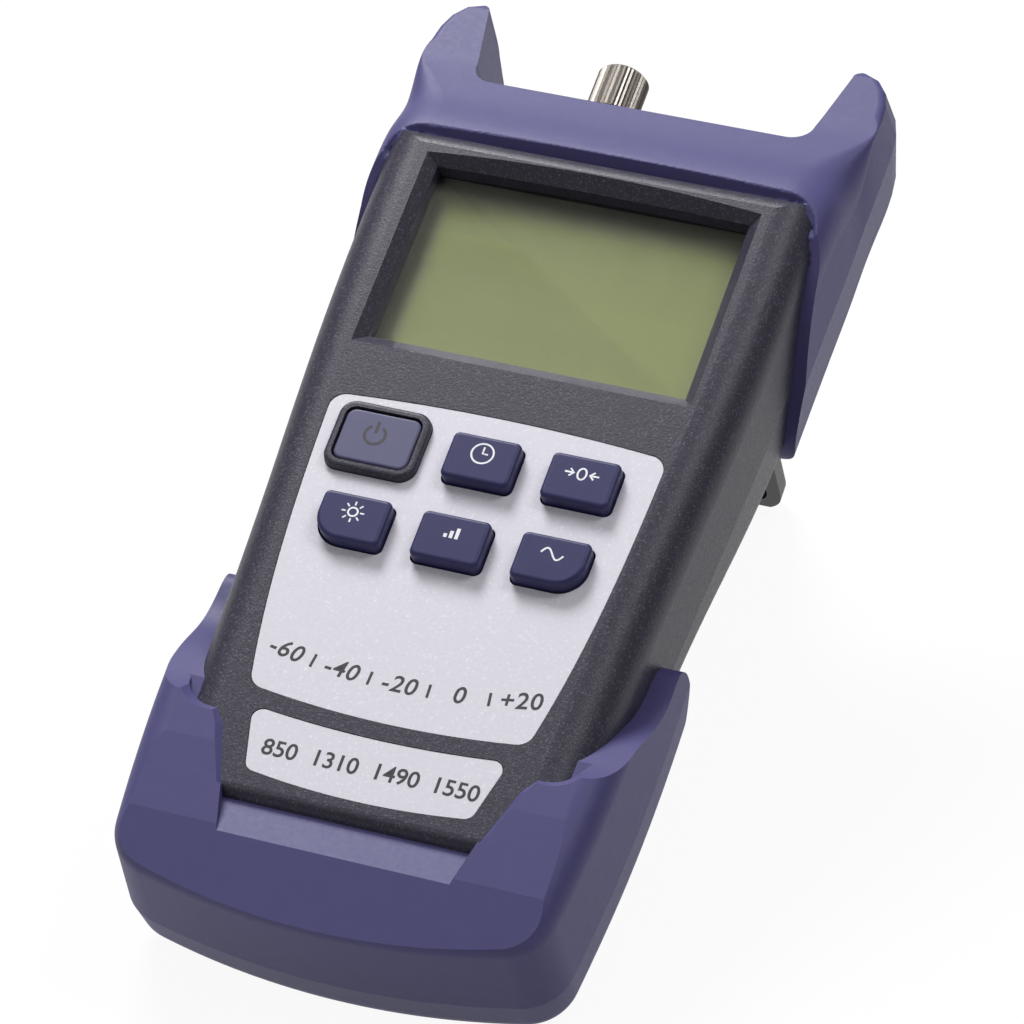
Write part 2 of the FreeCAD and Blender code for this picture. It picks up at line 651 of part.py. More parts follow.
def boot(envelope):
    outer = boot_block()
    ears = Part.makeLoft([ear_outline(3.0, 3.2), ear_outline(-0.2, 0.0), ear_outline(-1.6, 0.0)], True, True)
    for cutter in (flank_cutter_boot(), ears, wedge_channel(), front_slope(), door_surround(), envelope):
        outer = outer.cut(cutter)
    return outer


def with_screw_holes(shape):
    for cutter in screw_holes():
        shape = shape.cut(cutter)
    return shape


def case_screws():
    made = []
    for px, py in CASE_SCREWS:
        for side in (-1, 1):
            shank = cyl(1.2, vec(side * px, py, -27.0), vec(0, 0, 1), 18.0)
            head = cyl(2.8, vec(side * px, py, -29.2), vec(0, 0, 1), 2.2)
            socket = cyl(1.0, vec(side * px, py, -29.2), vec(0, 0, 1), 1.2)
            made.append(fuse(shank, head).cut(socket))
    return Part.makeCompound(made)


# ---------------------------------------------------------------- display
def display_lens():
    return rounded_plate(0, 18.1, 57.6, 37.6, 1.0, LENS_Z - LENS_T, LENS_Z)


def lcd_panel():
    top = LENS_Z - LENS_T
    return box(-27.9, 27.9, 0.6, 35.8, top - LCD_T, top)


def lcd_frame():
    """Tray that holds the glass and the backlight off the board."""
    top = LENS_Z - LENS_T
    tray = box(-28.8, 28.8, -0.8, 36.9, BOARD_Z, top)
    return tray.cut(box(-27.9, 27.9, 0.6, 35.8, top - LCD_T, top + 1))


# ---------------------------------------------------------------- board and keys below the face
def main_board():
    plan = Part.Face(body_outline(BOARD_Z - BOARD_T, 3.4)).extrude(vec(0, 0, BOARD_T))
    board = plan.common(box(-60, 60, BOARD_Y[0], BOARD_Y[1], -30, 0))
    for px, py in POSTS:
        for side in (-1, 1):
            board = board.cut(cyl(1.2, vec(side * px, py, -30), vec(0, 0, 1), 30))
    return board


def key_positions():
    return [POWER_POS] + [(kx, ky) for kx, ky, sweep in KEYS.values()]


def keypad_mat():
    """Silicone sheet on the board with one hollow boss under each plunger."""
    mat = box(-25.6, 25.6, -39.6, -13.0, BOARD_Z, BOARD_Z + 1.0)
    bosses = [cyl(3.4, vec(kx, ky, BOARD_Z), vec(0, 0, 1), 2.2) for kx, ky in key_positions()]
    mat = fuse(mat, *bosses)
    for kx, ky in key_positions():
        mat = mat.cut(cyl(2.8, vec(kx, ky, BOARD_Z - 1), vec(0, 0, 1), 2.0))
    return mat


def switch_domes():
    made = []
    for kx, ky in key_positions():
        ball = Part.makeSphere(5.4, vec(kx, ky, BOARD_Z - 4.75))
        made.append(ball.common(box(kx - 4, kx + 4, ky - 4, ky + 4, BOARD_Z, BOARD_Z + 2)))
    return Part.makeCompound(made)


def board_screws():
    made = []
    for px, py in POSTS:
        for side in (-1, 1):
            base = vec(side * px, py, BOARD_Z - BOARD_T)
            made.append(fuse(cyl(0.85, base, vec(0, 0, 1), 6.0), cyl(1.9, base - vec(0, 0, 1.1), vec(0, 0, 1), 1.1)))
    return Part.makeCompound(made)


def processor():
    return rounded_plate(8, 8, 14, 14, 0.6, BOARD_Z - BOARD_T - 1.6, BOARD_Z - BOARD_T)


# ---------------------------------------------------------------- optical port
def along_port(r, y0, y1):
    return cyl(r, vec(PORT_X, y0, PORT_Z), vec(0, 1, 0), y1 - y0)


def port_receptacle():
    """Square flange with the threaded barrel, keyway and a rear tube for the detector."""
    flange = box(PORT_X - FLANGE / 2, PORT_X + FLANGE / 2, BAR_TOP_Y - 0.2, BARREL_Y[0],
                 PORT_Z - FLANGE / 2, PORT_Z + FLANGE / 2)
    upright = edges_where(flange, lambda e: abs(e.BoundBox.YLength - (BARREL_Y[0] - BAR_TOP_Y + 0.2)) < 1e-6)
    flange = flange.makeFillet(1.6, upright)
    body = fuse(flange, along_port(BARREL_R, BARREL_Y[0] - 0.5, BARREL_Y[1]), along_port(5.1, 49.0, BAR_TOP_Y))
    body = body.cut(along_port(2.9, 59.4, BARREL_Y[1] + 1))
    body = body.cut(along_port(1.9, 50.0, 60.0))
    body = body.cut(along_port(4.2, 48.0, 56.0))
    body = body.cut(box(PORT_X - 1.0, PORT_X + 1.0, BARREL_Y[1] - 4.5, BARREL_Y[1] + 1, PORT_Z, PORT_Z + 6))
    for sx in (-1, 1):
        for sz in (-1, 1):
            body = body.cut(cyl(0.8, vec(PORT_X + sx * 5.2, 50, PORT_Z + sz * 5.2), vec(0, 1, 0), 20))
    return body


def ferrule_sleeve():
    sleeve = along_port(1.9, 57.0, 66.6)
    return sleeve.cut(along_port(FERRULE_R, 50, 70))


def port_screw_shanks(grow):
    made = []
    for sx in (-1, 1):
        for sz in (-1, 1):
            base = vec(PORT_X + sx * 5.2, BARREL_Y[0] - 3.5 - grow, PORT_Z + sz * 5.2)
            made.append(cyl(0.78 + grow, base, vec(0, 1, 0), 3.5 + grow))
    return made


def port_screws():
    made = []
    for shank in port_screw_shanks(0.0):
        seat = vec(shank.BoundBox.Center.x, BARREL_Y[0], shank.BoundBox.Center.z)
        made.append(fuse(shank, cyl(1.3, seat, vec(0, 1, 0), 0.45)))
    return Part.makeCompound(made)


def detector():
    can = along_port(4.1, 51.4, 55.6)
    base = along_port(4.15, 50.4, 51.4)
    leads = [cyl(0.25, vec(PORT_X + dx, 45.4, PORT_Z + 0.0), vec(0, 1, 0), 5.1) for dx in (-1.6, 0.0, 1.6)]
    return fuse(can, base, *leads)


def dust_cap():
    """Screw cap with a straight knurl."""
    count = 2 * KNURLS
    points = []
    for i in range(count):
        r = CAP_R if i % 2 else CAP_R - 0.22
        a = 2 * math.pi * i / count
        points.append(vec(PORT_X + r * math.cos(a), CAP_Y[0], PORT_Z + r * math.sin(a)))
    knurled = polygon_prism(points, vec(0, CAP_Y[1] - CAP_Y[0], 0))
    cone = Part.makeCone(CAP_R + 8.0, CAP_R - 0.55, 8.55, vec(PORT_X, CAP_Y[1] - 8.55, PORT_Z), vec(0, 1, 0))
    foot = Part.makeCone(CAP_R - 0.35, CAP_R + 11.65, 12.0, vec(PORT_X, CAP_Y[0], PORT_Z), vec(0, 1, 0))
    knurled = knurled.common(cone).common(foot)
    return knurled.cut(along_port(BARREL_R + 0.06, CAP_Y[0] - 1, BARREL_Y[1] + 0.6))


# ---------------------------------------------------------------- stand
def stand_folded():
    """Tray-shaped stand lying along -Y from the hinge, its outer face towards -Z, level."""
    t_in, t_out = 0.6, STAND_T - 0.6
    plate = box(-STAND_HALF, STAND_HALF, HINGE_Y - STAND_L, HINGE_Y, HINGE_Z - t_out, HINGE_Z + t_in)
    tips = edges_where(plate, lambda e: is_upright(e) and e.BoundBox.YMax < HINGE_Y - 1)
    plate = plate.makeFillet(STAND_TIP_R, tips)
    rim = edges_where(plate, lambda e: in_plane(e, HINGE_Z - t_out) and e.BoundBox.YMin < HINGE_Y - 1)
    plate = plate.makeFillet(1.2, rim)
    tray = box(-STAND_HALF + 2.6, STAND_HALF - 2.6, HINGE_Y - STAND_L + 2.6, HINGE_Y - 6.0,
               HINGE_Z - t_out + 1.6, HINGE_Z + 3)
    tray = tray.makeFillet(3.2, edges_where(tray, lambda e: is_upright(e) and e.BoundBox.YMax < HINGE_Y - 10))
    for rib_x in (-11.2, 0.0, 11.2):
        tray = tray.cut(box(rib_x - 0.7, rib_x + 0.7, HINGE_Y - STAND_L, HINGE_Y, HINGE_Z - 5, HINGE_Z + 0.1))
    for rib_y in (HINGE_Y - 26.0, HINGE_Y - 46.0):
        tray = tray.cut(box(-STAND_HALF, STAND_HALF, rib_y - 0.7, rib_y + 0.7, HINGE_Z - 5, HINGE_Z + 0.1))
    barrel = cyl(BARREL_STAND_R, vec(-STAND_HALF, HINGE_Y, HINGE_Z), vec(1, 0, 0), 2 * STAND_HALF)
    stand = fuse(plate.cut(tray), barrel)
    return stand.cut(cyl(PIN_R + 0.06, vec(-40, HINGE_Y, HINGE_Z), vec(1, 0, 0), 80))


def table_height():
    """Height, along the leaning meter's vertical, of the boot's lowest line."""
    lean = math.radians(LEAN)
    up = vec(0, math.sin(lean), math.cos(lean))
    block = boot_block()
    turned = block.copy()
    turned.rotate(vec(0, 0, 0), vec(1, 0, 0), LEAN)
    return up, turned.optimalBoundingBox().ZMin


def kickstand(up, table):
    stand = stand_folded()
    stand.rotate(vec(0, HINGE_Y, HINGE_Z), vec(1, 0, 0), -FOLD_TILT + STAND_OPEN)
    below = Part.makeBox(BIG, BIG, BIG, vec(-BIG / 2, -BIG / 2, -BIG))
    below.rotate(vec(0, 0, 0), vec(1, 0, 0), -LEAN)
    below.translate(up * table)
    return stand.cut(below)


def stand_pin():
    return cyl(PIN_R, vec(-STAND_HALF - 3.4, HINGE_Y, HINGE_Z), vec(1, 0, 0), 2 * STAND_HALF + 6.8)


# ---------------------------------------------------------------- batteries and door
def battery_door():
    """Flat door with a finger grip, two hooks at its lower edge and a latch at its upper edge."""
    door = door_form(-0.15, GRIP_Z + DOOR_T).common(box(-60, 60, -100, 0, GRIP_Z, 0))
    for i in range(5):
        y = BAY_Y[1] - 5.0 - 1.6 * i
        door = door.cut(box(-7 + 0.5 * i, 7 - 0.5 * i, y - 0.4, y + 0.4, GRIP_Z - 1, GRIP_Z + 0.5))
    return door


def cells():
    made = []
    for i in (-1, 0, 1):
        x = i * (2 * CELL_R + 0.35)
        y0 = CELL_MID_Y - CELL_L / 2
        can = cyl(CELL_R, vec(x, y0, CELL_Z), vec(0, 1, 0), CELL_L - 1.2)
        nub = cyl(1.9, vec(x, y0, CELL_Z), vec(0, 1, 0), CELL_L)
        cell = fuse(can, nub)
        if i == 0:
            cell.rotate(vec(x, CELL_MID_Y, CELL_Z), vec(0, 0, 1), 180)
        made.append(cell)
    return made


def contact_plates():
    """Spring plates at both ends of the battery bay."""
    made = []
    for y0 in (BAY_Y[0], BAY_Y[1] - 0.4):
        made.append(box(-BAY_HALF + 0.6, BAY_HALF - 0.6, y0, y0 + 0.4, CELL_Z - 4.5, CELL_Z + 4.5))
    return Part.makeCompound(made)


# ---------------------------------------------------------------- assembly
def build():
    envelope = body_envelope()
    cavity = body_cavity()
    parts = {}
    parts["front_shell"] = front_shell(envelope, cavity)
    parts["back_shell"] = back_shell(envelope, cavity)
    guard = top_guard(envelope)
    parts["top_guard_front"] = front_half(guard)
    parts["top_guard_back"] = with_screw_holes(back_half(guard))
    end = boot(envelope)
    parts["boot_front"] = front_half(end)
    parts["boot_back"] = with_screw_holes(back_half(end))
    parts["case_screws"] = case_screws()
    parts["label_upper"] = label_upper()
    parts["label_lower"] = label_lower()
    parts["display_lens"] = display_lens()
    parts["lcd_panel"] = lcd_panel()
    parts["lcd_frame"] = lcd_frame()
    for name, (cx, cy, sweep) in KEYS.items():
        parts[name] = small_key(cx, cy, sweep)
    parts["key_power"] = power_key()
    parts["keypad_mat"] = keypad_mat()
    parts["switch_domes"] = switch_domes()
    parts["main_board"] = main_board()
    parts["board_screws"] = board_screws()
    parts["processor"] = processor()
    parts["port_receptacle"] = port_receptacle()
    parts["ferrule_sleeve"] = ferrule_sleeve()
    parts["port_screws"] = port_screws()
    parts["detector"] = detector()
    parts["dust_cap"] = dust_cap()
    up, table = table_height()
    parts["kickstand"] = kickstand(up, table)
    parts["stand_pin"] = stand_pin()
    parts["battery_door"] = battery_door()
    for i, cell in enumerate(cells()):
        parts["battery_%d" % (i + 1)] = cell
    parts["battery_contacts"] = contact_plates()
    return parts


def export(parts):
    """Lean the meter onto its stand and centre its box over the origin."""
    for shape in parts.values():
        shape.rotate(vec(0, 0, 0), vec(1, 0, 0), LEAN)
    bounds = Part.makeCompound(list(parts.values())).optimalBoundingBox()
    shift = vec(-(bounds.XMin + bounds.XMax) / 2, -(bounds.YMin + bounds.YMax) / 2, -bounds.ZMin)
    print("shift", shift, "bounds", bounds)
    for name, shape in parts.items():
        shape.translate(shift)
        print("%-18s solids %d valid %s volume %.1f" % (name, len(shape.Solids), shape.isValid(), shape.Volume))
        shape.exportStep("parts/" + name + ".step")


export(build())
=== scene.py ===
"""Looks of a handheld optical power meter: finishes, printed legends, light, floor and camera."""

import json
import math

import bmesh
import bpy
from mathutils import Matrix, Vector
from mathutils.bvhtree import BVHTree


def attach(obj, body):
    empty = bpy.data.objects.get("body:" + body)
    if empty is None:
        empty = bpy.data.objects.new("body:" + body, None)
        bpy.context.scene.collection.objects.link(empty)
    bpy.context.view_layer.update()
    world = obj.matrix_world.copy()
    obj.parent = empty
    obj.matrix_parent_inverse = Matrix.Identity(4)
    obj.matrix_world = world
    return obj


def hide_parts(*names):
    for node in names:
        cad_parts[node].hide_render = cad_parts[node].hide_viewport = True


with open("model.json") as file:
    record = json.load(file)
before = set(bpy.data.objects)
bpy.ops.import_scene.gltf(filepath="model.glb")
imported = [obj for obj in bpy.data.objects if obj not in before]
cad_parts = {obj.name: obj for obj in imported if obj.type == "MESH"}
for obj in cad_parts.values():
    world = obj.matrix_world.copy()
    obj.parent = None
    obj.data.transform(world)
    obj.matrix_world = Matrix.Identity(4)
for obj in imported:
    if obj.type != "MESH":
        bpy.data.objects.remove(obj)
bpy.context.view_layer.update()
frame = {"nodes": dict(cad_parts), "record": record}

MM = 0.001

# ---------------------------------------------------------------- the meter's own axes
LEAN = math.radians(26)  # the meter leans back on its stand
PORT_AXIS_POINT = Vector((-8.0, 61.8, -18.5))  # mouth of the ferrule bore in the meter's axes, mm
TURN = Matrix.Rotation(LEAN, 3, "X")
SHIFT = Vector(frame["record"]["mounts"][0]["pos_m"]) - TURN @ (PORT_AXIS_POINT * MM)


def place(x, y, z):
    """A point of the meter's own axes in the row frame.

    The meter's own axes are in mm: x right, y towards the port, z out of its face.
    """
    return TURN @ (Vector((x, y, z)) * MM) + SHIFT


def meter_point(point):
    """A point of the row frame in the meter's own axes, mm."""
    return (TURN.inverted() @ (Vector(point) - SHIFT)) / MM


def add_object(name, data):
    """A new object of the scene that shows the given data."""
    made = bpy.data.objects.new(name, data)
    bpy.context.scene.collection.objects.link(made)
    return made


# ---------------------------------------------------------------- colours, linear
HOUSING = (0.033, 0.031, 0.050)
HOUSING_FLECK = (0.175, 0.170, 0.220)
GUARD = (0.082, 0.075, 0.205)
GUARD_DEEP = (0.070, 0.064, 0.180)
FILM = (0.68, 0.665, 0.735)
FILM_FLECK = (0.84, 0.82, 0.89)
WINDOW = (0.97, 0.98, 0.97)
LCD = (0.160, 0.184, 0.042)
# grey of the painted shade of the window's walls on the display
LCD_WALL_SHADE = (0.20, 0.20, 0.155)
KEY_BLUE = (0.033, 0.032, 0.108)
KEY_GREY = (0.105, 0.103, 0.190)
LEGEND_WHITE = (0.80, 0.80, 0.84)
LEGEND_DARK = (0.026, 0.024, 0.030)
STAND_BLACK = (0.022, 0.022, 0.026)
FRAME_BLACK = (0.012, 0.012, 0.013)
# a darker nickel for the dust cap
NICKEL_DARKER = (0.225, 0.205, 0.185)
NICKEL = (0.62, 0.60, 0.55)
STEEL = (0.56, 0.56, 0.57)
SPRING_STEEL = (0.62, 0.62, 0.60)
ZIRCONIA = (0.86, 0.86, 0.82)
SILICONE = (0.5, 0.5, 0.5)
CELL_BLUE = (0.05, 0.08, 0.16)
CHIP_BLACK = (0.03, 0.03, 0.03)
BOARD_GREENS = {"Color1": (0.012, 0.10, 0.045), "Color2": (0.016, 0.12, 0.055),
                "Mortar": (0.03, 0.22, 0.09)}
FLOOR_WHITES = ((0.86, 0.86, 0.86), (0.90, 0.90, 0.90))
FLOOR_BOUNCE = (0.40, 0.40, 0.40)  # what the object sees of the floor by diffuse light

MIX_A, MIX_B, MIX_RESULT = 6, 7, 2  # the colour sockets of Blender's mix node


# ---------------------------------------------------------------- shader building
def tint(colour, factor):
    return tuple(factor * c for c in colour)


class Finish:
    """One procedural material; its methods add nodes and return their output sockets."""

    def __init__(self, name, **settings):
        self.material = bpy.data.materials.new(name)
        self.material.use_nodes = True
        self.nodes = self.material.node_tree.nodes
        self.links = self.material.node_tree.links
        self.shader = self.nodes["Principled BSDF"]
        for socket, value in settings.items():
            self.shader.inputs[socket.replace("_", " ")].default_value = value

    def add(self, kind, **settings):
        node = self.nodes.new(kind)
        for name, value in settings.items():
            setattr(node, name, value)
        return node

    def link(self, source, target):
        self.links.new(source, target)

    def coordinates(self):
        """Coordinates in millimetres along the meter's own axes."""
        turn_back = self.add("ShaderNodeMapping", vector_type="POINT")
        turn_back.inputs["Scale"].default_value = (1 / MM,) * 3
        turn_back.inputs["Rotation"].default_value = (-LEAN, 0, 0)
        turn_back.inputs["Location"].default_value = -(TURN.inverted() @ SHIFT) / MM
        self.link(self.add("ShaderNodeTexCoord").outputs["Object"], turn_back.inputs["Vector"])
        return turn_back.outputs["Vector"]

    def noise(self, size, detail=2.0, roughness=0.5):
        """Soft noise with grains of about size millimetres."""
        node = self.add("ShaderNodeTexNoise")
        scale = self.add("ShaderNodeMapping", vector_type="POINT")
        scale.inputs["Scale"].default_value = (1 / size,) * 3
        node.inputs["Scale"].default_value = 1.0
        node.inputs["Detail"].default_value = detail
        node.inputs["Roughness"].default_value = roughness
        self.link(self.coordinates(), scale.inputs["Vector"])
        self.link(scale.outputs["Vector"], node.inputs["Vector"])
        return node.outputs["Fac"]

    def grains(self, size):
        """A random grey for each grain of about size millimetres."""
        node = self.add("ShaderNodeTexVoronoi")
        node.inputs["Scale"].default_value = 1 / size
        self.link(self.coordinates(), node.inputs["Vector"])
        return node.outputs["Color"]

    def along(self, axis):
        """One of the meter's own coordinates, in millimetres."""
        node = self.add("ShaderNodeSeparateXYZ")
        self.link(self.coordinates(), node.inputs["Vector"])
        return node.outputs[axis]

    def between(self, value, low, high):
        """0 below low, 1 above high, with a smooth step between."""
        node = self.add("ShaderNodeMapRange", interpolation_type="SMOOTHSTEP")
        node.inputs["From Min"].default_value = low
        node.inputs["From Max"].default_value = high
        self.link(value, node.inputs["Value"])
        return node.outputs["Result"]

    def ranged(self, value, low, high):
        """A 0 to 1 value as one from low to high."""
        node = self.add("ShaderNodeMapRange")
        node.inputs["To Min"].default_value = low
        node.inputs["To Max"].default_value = high
        self.link(value, node.inputs["Value"])
        return node.outputs["Result"]

    def combine(self, operation, a, b):
        node = self.add("ShaderNodeMath", operation=operation)
        for socket, value in zip(node.inputs, (a, b)):
            if isinstance(value, float):
                socket.default_value = value
            else:
                self.link(value, socket)
        return node.outputs["Value"]

    def mix(self, factor, a, b):
        """Colour a where factor is 0, b where it is 1."""
        node = self.add("ShaderNodeMix", data_type="RGBA")
        self.link(factor, node.inputs["Factor"])
        for socket, value in ((node.inputs[MIX_A], a), (node.inputs[MIX_B], b)):
            if isinstance(value, tuple):
                socket.default_value = (*value, 1)
            else:
                self.link(value, socket)
        return node.outputs[MIX_RESULT]

    def mottled(self, colour, size, low, high, detail=3.0):
        """The colour, between low and high times as bright."""
        return self.mix(self.noise(size, detail), tint(colour, low), tint(colour, high))

    def blend_into(self, share, other):
        """The surface becomes the other shader where share is 1."""
        blend = self.add("ShaderNodeMixShader")
        self.link(share, blend.inputs["Fac"])
        self.link(self.shader.outputs["BSDF"], blend.inputs[1])
        self.link(other, blend.inputs[2])
        self.link(blend.outputs["Shader"], self.nodes["Material Output"].inputs["Surface"])

    def bump(self, height, depth):
        """Surface relief of depth millimetres."""
        node = self.add("ShaderNodeBump")
        node.inputs["Distance"].default_value = depth * MM
        self.link(height, node.inputs["Height"])
        self.link(node.outputs["Normal"], self.shader.inputs["Normal"])

    def colour(self, socket):
        self.link(socket, self.shader.inputs["Base Color"])

    def roughness(self, socket):
        self.link(socket, self.shader.inputs["Roughness"])


def sparkle_plastic():
    """Dark housing moulded against a spark-eroded tool: fine grain with paler flecks."""
    f = Finish("housing_sparkle", IOR=1.5, Specular_IOR_Level=0.36)
    fleck_size, fleck_strength = 0.25, 0.45
    flecks = f.between(f.grains(fleck_size), low=0.62, high=1.0)
    ground = f.mottled(HOUSING, size=1.1, low=0.82, high=1.16)
    f.colour(f.mix(f.combine("MULTIPLY", flecks, fleck_strength), ground, HOUSING_FLECK))
    f.roughness(f.ranged(f.grains(fleck_size), low=0.34, high=0.54))
    f.bump(f.noise(size=0.40, roughness=0.6), depth=0.050)
    return f.material


def guard_plastic():
    """Violet-blue guard plastic with a fine even matt grain."""
    f = Finish("guard_matt", IOR=1.46, Specular_IOR_Level=0.32)
    f.colour(f.mix(f.noise(size=2.6, detail=4.0), GUARD_DEEP, GUARD))
    f.roughness(f.ranged(f.noise(size=0.8), low=0.44, high=0.56))
    f.bump(f.noise(size=0.22), depth=0.008)
    return f.material


def silver_film():
    """Printed silver film over the keypad, with fine bright specks."""
    f = Finish("label_film", Roughness=0.5, IOR=1.45)
    fleck_size, fleck_strength = 0.34, 0.6
    flecks = f.between(f.grains(fleck_size), low=0.72, high=0.98)
    ground = f.mottled(FILM, size=0.7, low=0.93, high=1.04, detail=2.0)
    f.colour(f.mix(f.combine("MULTIPLY", flecks, fleck_strength), ground, FILM_FLECK))
    f.bump(f.noise(size=0.4), depth=0.004)
    return f.material


def clear_window():
    """Clear acrylic: glass to the eye, open to the lamps."""
    f = Finish("window_clear", IOR=1.49, Transmission_Weight=1.0, Base_Color=(*WINDOW, 1))
    f.roughness(f.ranged(f.noise(size=9.0, detail=3.0), low=0.02, high=0.07))
    open_to_lamps = f.add("ShaderNodeBsdfTransparent").outputs["BSDF"]
    f.blend_into(f.add("ShaderNodeLightPath").outputs["Is Shadow Ray"], open_to_lamps)
    return f.material


LCD_LEFT_WALL_SHADE = (-27.0, -23.0)  # the display greys towards its left edge between these places, painted shade of the window's left wall
# painted shade of the window's top wall greys the display towards its top edge between these places
LCD_TOP_WALL_SHADE = (29.0, 34.5)
LCD_LOW_FADE = (2.0, 18.0)  # and is a little darker below these


def lcd_film():
    """Unlit reflective display: green-grey, greyer along its top and left edges with painted shade
    and some painted reflection of the window's walls.
    """
    f = Finish("lcd_film", Roughness=0.42, IOR=1.45)
    left = f.between(f.along("X"), *LCD_LEFT_WALL_SHADE)
    top = f.combine("SUBTRACT", 1.0, f.between(f.along("Y"), *LCD_TOP_WALL_SHADE))
    inside = f.combine("MULTIPLY", left, top)
    green = f.mix(f.between(f.along("Y"), *LCD_LOW_FADE), tint(LCD, 0.90), LCD)
    # painted shade of the window's walls greys the display's top and left edges
    f.colour(f.mix(inside, LCD_WALL_SHADE, green))
    f.bump(f.noise(size=3.0), depth=0.001)
    return f.material


ROUGH_LESS, ROUGH_MORE = 0.05, 0.06  # how far roughness strays on a moulded surface
METAL_LESS, METAL_MORE = 0.08, 0.10  # and on a metal one
METAL_MARKS = 0.25  # size of the working marks, mm


def rubber_key(name, colour, rough):
    """Silicone key: satin, with a faint mottle."""
    f = Finish(name, IOR=1.42, Specular_IOR_Level=0.35)
    f.colour(f.mottled(colour, size=1.7, low=0.9, high=1.1))
    f.roughness(f.ranged(f.noise(size=0.9), rough - ROUGH_LESS, rough + ROUGH_MORE))
    f.bump(f.noise(size=0.18), depth=0.004)
    return f.material


def plain_plastic(name, colour, rough=0.5, grain=0.3, depth=0.01):
    """Moulded plastic or ink, with grain and relief in millimetres."""
    f = Finish(name, IOR=1.48)
    f.colour(f.mottled(colour, size=2.0, low=0.85, high=1.15))
    f.roughness(f.ranged(f.noise(size=0.9), rough - ROUGH_LESS, rough + ROUGH_MORE))
    f.bump(f.noise(grain), depth)
    return f.material


def print_ink(name, colour, rough=0.5):
    """Screen-printed ink: the grain and relief of a thin, even layer."""
    return plain_plastic(name, colour, rough, grain=0.2, depth=0.002)


def metal(name, colour, rough):
    """Plated or bare metal with fine working marks."""
    f = Finish(name, Metallic=1.0)
    f.colour(f.mottled(colour, size=1.6, low=0.88, high=1.08))
    f.roughness(f.ranged(f.noise(METAL_MARKS), rough - METAL_LESS, rough + METAL_MORE))
    f.bump(f.noise(METAL_MARKS), depth=0.004)
    return f.material


def circuit_board():
    """Green solder mask over copper that shows as paler traces."""
    f = Finish("board_mask", Roughness=0.3, IOR=1.5)
    traces = f.add("ShaderNodeTexBrick", offset=0.35)
    traces.inputs["Scale"].default_value = 0.28
    traces.inputs["Mortar Size"].default_value = 0.05
    for socket, green in BOARD_GREENS.items():
        traces.inputs[socket].default_value = (*green, 1)
    f.link(f.coordinates(), traces.inputs["Vector"])
    f.colour(traces.outputs["Color"])
    return f.material


# ---------------------------------------------------------------- flat print
CURVE_STEPS = 24  # straight pieces in an arc
PRINT_DEPTH = 0.06  # how thick a print is, mm
PRINT_STANDS = 0.025  # how far it stands proud
CAPITAL_SHARE = 0.7  # height of a capital over the font's size
INK_SPREAD = 0.018  # how much bolder a digit is than the font, over its height


def ribbon(points, width, closed=False):
    """A stroke of the given width along points, as (vertices, faces) in its plane."""
    verts = []
    count = len(points)
    for i, p in enumerate(points):
        before = points[(i - 1) % count] if closed or i else p
        after = points[(i + 1) % count] if closed or i < count - 1 else p
        run = (Vector(after) - Vector(before)).normalized()
        side = Vector((-run.y, run.x)) * width / 2
        verts += [Vector(p) + side, Vector(p) - side]
    steps = count if closed else count - 1
    faces = [[(2 * i + k) % (2 * count) for k in (0, 1, 3, 2)] for i in range(steps)]
    return verts, faces


def arc(centre, radius, start, end):
    """Points of an arc from start to end degrees."""
    angles = [math.radians(start + (end - start) * i / CURVE_STEPS)
              for i in range(CURVE_STEPS + 1)]
    return [(centre[0] + radius * math.cos(a), centre[1] + radius * math.sin(a)) for a in angles]


def ring(centre, radius):
    return arc(centre, radius, 0, 360)[:-1]


def lay_print(name, shapes, surface_z, body, finish):
    """Thin raised print from (vertices, faces) shapes in the meter's own x and y."""
    mesh = bpy.data.meshes.new(name)
    build = bmesh.new()
    for verts, faces in shapes:
        made = [build.verts.new((v[0], v[1], 0)) for v in verts]
        for face in faces:
            build.faces.new([made[i] for i in face])
    bmesh.ops.recalc_face_normals(build, faces=build.faces)
    for face in build.faces:
        if face.normal.z < 0:
            face.normal_flip()
    grown = bmesh.ops.extrude_face_region(build, geom=list(build.faces))
    for item in grown["geom"]:
        if isinstance(item, bmesh.types.BMVert):
            item.co.z = PRINT_STANDS
    for vert in build.verts:
        if vert.co.z == 0:
            vert.co.z = PRINT_STANDS - PRINT_DEPTH
    bmesh.ops.recalc_face_normals(build, faces=build.faces)
    for vert in build.verts:
        vert.co = place(vert.co.x, vert.co.y, surface_z + vert.co.z)
    build.to_mesh(mesh)
    build.free()
    mesh.materials.append(finish)
    piece = add_object(name, mesh)
    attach(piece, body)


def lettering(text, height, centre, turn=0.0, shear=0.0, spacing=1.0):
    """Digits as (vertices, faces), centred on a point and turned by turn radians."""
    curve = bpy.data.curves.new("digits", "FONT")
    curve.body = text
    curve.size = height / CAPITAL_SHARE
    curve.align_x = "CENTER"
    curve.align_y = "CENTER"
    curve.shear = shear
    curve.space_character = spacing
    curve.offset = INK_SPREAD * height
    holder = bpy.data.objects.new("digits", curve)
    flat = bpy.data.meshes.new_from_object(holder)
    rotation = Matrix.Rotation(turn, 2)
    verts = [rotation @ v.co.xy + Vector(centre) for v in flat.vertices]
    faces = [list(p.vertices) for p in flat.polygons]
    bpy.data.objects.remove(holder)
    bpy.data.curves.remove(curve)
    bpy.data.meshes.remove(flat)
    return verts, faces


# ---------------------------------------------------------------- key signs, mm
STROKE = 0.32
KEY_TOP = 2.5
POWER_TOP = 1.25
POWER_CENTRE = (-18.9, -19.4)
LEGEND_RISE = 0.9  # legends sit a little above the key's middle

